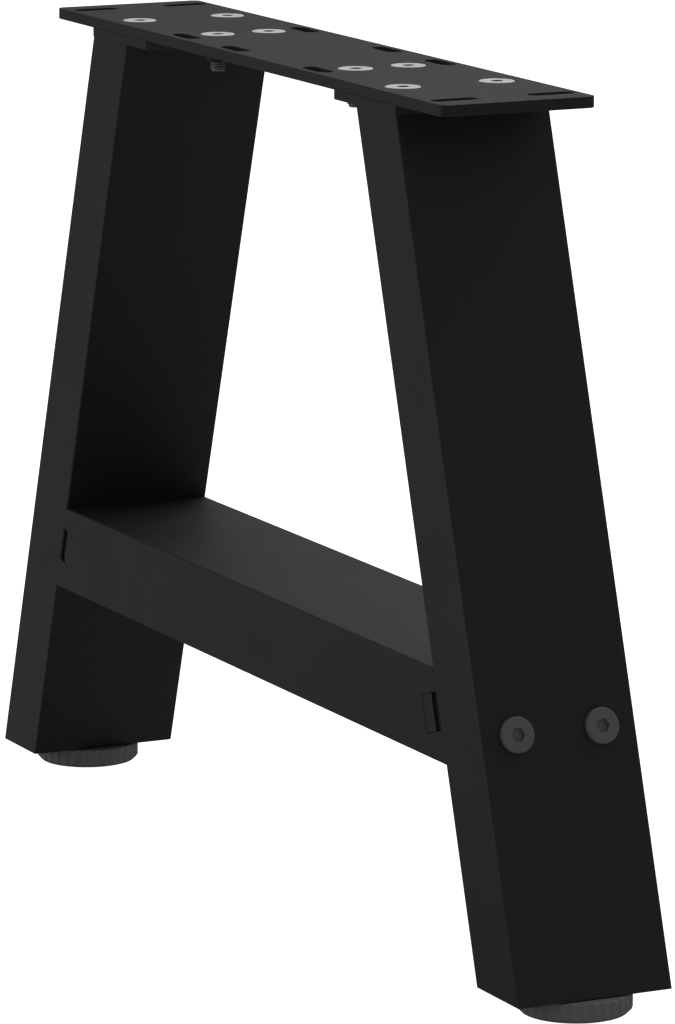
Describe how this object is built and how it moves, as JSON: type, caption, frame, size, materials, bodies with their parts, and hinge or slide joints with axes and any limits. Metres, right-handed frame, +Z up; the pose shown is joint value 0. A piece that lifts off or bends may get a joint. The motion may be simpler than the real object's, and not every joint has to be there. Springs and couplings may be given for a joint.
{
  "type": "trestle table leg",
  "caption": "Steel A-frame trestle leg with a slotted top plate, a crossbeam between leaning square tubes, and levelling feet.",
  "frame": {"origin": "on the floor, under the middle of the leg, half-way between its two feet", "axes": "+Z up, +X from the left foot to the right foot, +Y from the front of the trestle to its back"},
  "size_m": [0.6118, 0.08, 0.414],
  "materials": {
    "black_steel": "satin black powder coat with a fine texture",
    "zinc_screws": "bright zinc plate",
    "weld_nuts": "black powder coat",
    "dark_bolts": "dark grey zinc plate",
    "foot_plastic": "moulded black nylon"
  },
  "bodies": {
    "frame": {"top_plate": "black_steel", "crossbeam": "black_steel", "leg_tube_left": "black_steel", "leg_tube_right": "black_steel", "leg_flange_left": "black_steel", "leg_flange_right": "black_steel", "beam_bracket_left": "black_steel", "beam_bracket_right": "black_steel", "foot_plate_left": "black_steel", "foot_plate_right": "black_steel", "plate_screw_left_outer_front": "zinc_screws", "plate_screw_left_inner_front": "zinc_screws", "plate_screw_left_outer_back": "zinc_screws", "plate_screw_left_inner_back": "zinc_screws", "plate_screw_right_outer_front": "zinc_screws", "plate_screw_right_inner_front": "zinc_screws", "plate_screw_right_outer_back": "zinc_screws", "plate_screw_right_inner_back": "zinc_screws", "weld_nut_left_outer_front": "weld_nuts", "weld_nut_left_inner_front": "weld_nuts", "weld_nut_left_outer_back": "weld_nuts", "weld_nut_left_inner_back": "weld_nuts", "weld_nut_right_outer_front": "weld_nuts", "weld_nut_right_inner_front": "weld_nuts", "weld_nut_right_outer_back": "weld_nuts", "weld_nut_right_inner_back": "weld_nuts", "foot_nut_left": "weld_nuts", "foot_nut_right": "weld_nuts", "connector_bolt_left_front": "dark_bolts", "connector_bolt_left_back": "dark_bolts", "connector_bolt_right_front": "dark_bolts", "connector_bolt_right_back": "dark_bolts"},
    "left_stud": {"foot_stud_left": "zinc_screws"},
    "right_stud": {"foot_stud_right": "zinc_screws"},
    "left_foot": {"foot_pad_left": "foot_plastic"},
    "right_foot": {"foot_pad_right": "foot_plastic"}
  },
  "joints": [
    {"name": "left_foot_lower", "type": "slide", "parent": "frame", "child": "left_stud", "axis": [0, 0, -1], "range_m": [0, 0.01]},
    {"name": "left_foot_turn", "type": "hinge", "parent": "left_stud", "child": "left_foot", "pos_m": [-0.27899, 0, 0], "axis": [0, 0, -1], "range_deg": [0, 2880]},
    {"name": "right_foot_lower", "type": "slide", "parent": "frame", "child": "right_stud", "axis": [0, 0, -1], "range_m": [0, 0.01]},
    {"name": "right_foot_turn", "type": "hinge", "parent": "right_stud", "child": "right_foot", "pos_m": [0.27899, 0, 0], "axis": [0, 0, -1], "range_deg": [0, 2880]}
  ],
  "couplings": [
    {"joint": "left_foot_turn", "follows": "left_foot_lower", "rad_per_m": 5026.5},
    {"joint": "right_foot_turn", "follows": "right_foot_lower", "rad_per_m": 5026.5}
  ]
}
